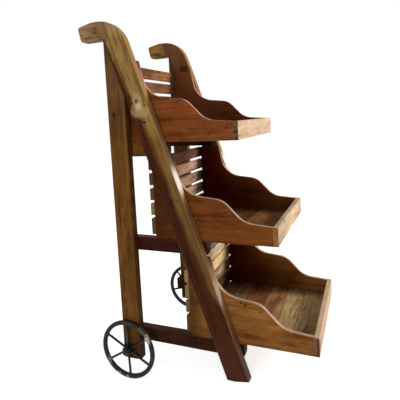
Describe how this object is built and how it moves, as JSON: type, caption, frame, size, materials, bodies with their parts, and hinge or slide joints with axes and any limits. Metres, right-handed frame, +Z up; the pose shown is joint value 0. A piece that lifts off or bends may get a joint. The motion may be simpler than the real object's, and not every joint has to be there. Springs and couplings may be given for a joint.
{
  "type": "flower cart stand",
  "caption": "Weathered wooden flower cart: scalloped display trays stepped between slanted legs and upright posts, with stub handles and spoked iron wheels at the rear.",
  "frame": {"origin": "middle of the footprint's bounding box, on the floor", "axes": "X across the cart, its front faces -Y, Z up"},
  "size_m": [0.6616, 0.8572, 1.3923],
  "materials": {
    "post_wood": "worn varnish over vertical grain",
    "leg_wood": "worn, slightly glossy varnish",
    "handle_wood": "hand-polished varnish",
    "light_rail_wood": "matte varnish",
    "dark_rail_wood": "dark aged varnish",
    "tray_side_wood": "reddish-brown varnish with pale worn edges",
    "front_board_wood": "pale sanded wood",
    "floor_plank_wood": "weathered, matte",
    "slat_wood": "weathered, matte",
    "wheel_iron": "black paint, lightly rusted",
    "plate_steel": "black painted steel",
    "dark_steel": "blackened steel"
  },
  "bodies": {
    "frame": {"frame_screws": "dark_steel", "hub_washers": "dark_steel", "left_axle": "plate_steel", "left_handle": "handle_wood", "left_leg": "leg_wood", "left_low_rail": "dark_rail_wood", "left_mid_rail": "dark_rail_wood", "left_post": "post_wood", "left_top_rail": "light_rail_wood", "low_tray_back_slat_1": "slat_wood", "low_tray_back_slat_2": "slat_wood", "low_tray_back_slat_3": "slat_wood", "low_tray_back_slat_4": "slat_wood", "low_tray_back_slat_5": "slat_wood", "low_tray_floor_plank_1": "floor_plank_wood", "low_tray_floor_plank_2": "floor_plank_wood", "low_tray_floor_plank_3": "floor_plank_wood", "low_tray_floor_plank_4": "floor_plank_wood", "low_tray_floor_plank_5": "floor_plank_wood", "low_tray_front_board": "front_board_wood", "low_tray_left_side": "tray_side_wood", "low_tray_right_side": "tray_side_wood", "mid_tray_back_slat_1": "slat_wood", "mid_tray_back_slat_2": "slat_wood", "mid_tray_back_slat_3": "slat_wood", "mid_tray_back_slat_4": "slat_wood", "mid_tray_back_slat_5": "slat_wood", "mid_tray_floor_plank_1": "floor_plank_wood", "mid_tray_floor_plank_2": "floor_plank_wood", "mid_tray_floor_plank_3": "floor_plank_wood", "mid_tray_floor_plank_4": "floor_plank_wood", "mid_tray_floor_plank_5": "floor_plank_wood", "mid_tray_front_board": "front_board_wood", "mid_tray_left_side": "tray_side_wood", "mid_tray_right_side": "tray_side_wood", "right_axle": "plate_steel", "right_handle": "handle_wood", "right_leg": "leg_wood", "right_low_rail": "dark_rail_wood", "right_mid_rail": "dark_rail_wood", "right_post": "post_wood", "right_top_rail": "light_rail_wood", "top_tray_back_slat_1": "slat_wood", "top_tray_back_slat_2": "slat_wood", "top_tray_back_slat_3": "slat_wood", "top_tray_back_slat_4": "slat_wood", "top_tray_back_slat_5": "slat_wood", "top_tray_floor_plank_1": "floor_plank_wood", "top_tray_floor_plank_2": "floor_plank_wood", "top_tray_floor_plank_3": "floor_plank_wood", "top_tray_floor_plank_4": "floor_plank_wood", "top_tray_floor_plank_5": "floor_plank_wood", "top_tray_front_board": "front_board_wood", "top_tray_left_side": "tray_side_wood", "top_tray_right_side": "tray_side_wood", "tray_nails": "dark_steel", "wheel_nuts": "dark_steel"},
    "left_wheel": {"left_wheel": "wheel_iron"},
    "right_wheel": {"right_wheel": "wheel_iron"}
  },
  "joints": [
    {"name": "left_wheel_spin", "type": "hinge", "parent": "frame", "child": "left_wheel", "pos_m": [-0.3064, 0.31163, 0.117], "axis": [1, 0, 0], "continuous": true},
    {"name": "right_wheel_spin", "type": "hinge", "parent": "frame", "child": "right_wheel", "pos_m": [0.3064, 0.31163, 0.117], "axis": [1, 0, 0], "continuous": true}
  ]
}
